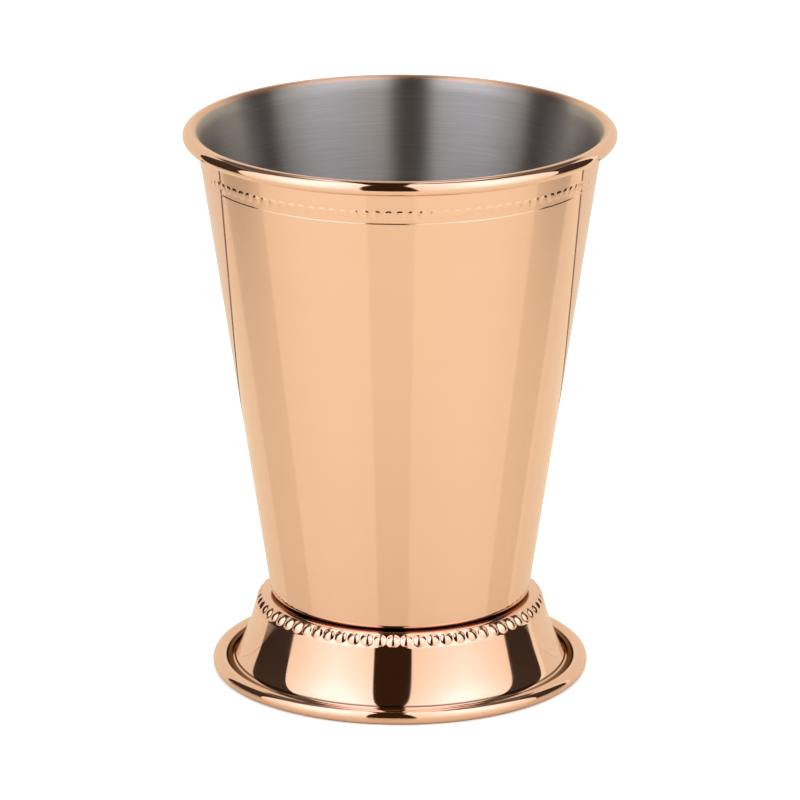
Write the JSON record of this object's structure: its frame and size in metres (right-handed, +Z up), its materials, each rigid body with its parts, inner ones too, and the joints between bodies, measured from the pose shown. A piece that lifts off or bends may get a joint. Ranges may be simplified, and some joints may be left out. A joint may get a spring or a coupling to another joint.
{
  "type": "julep cup",
  "caption": "Footed metal julep cup: tapered tumbler with rolled rim and beaded band, joined to a flared foot with beaded shoulder and rolled hem.",
  "frame": {"origin": "centre of the foot's resting circle, on the table", "axes": "+Z up along the cup's axis; the cup is round, so X and Y are alike"},
  "size_m": [0.09, 0.09, 0.1174],
  "materials": {
    "plated_sheet": "stainless sheet, copper plated and polished outside, plain brushed steel inside the cup",
    "braze": "braze filler, left as it flowed"
  },
  "bodies": {
    "root": {"tumbler": "plated_sheet", "foot": "plated_sheet", "braze_ring": "braze"}
  },
  "joints": []
}
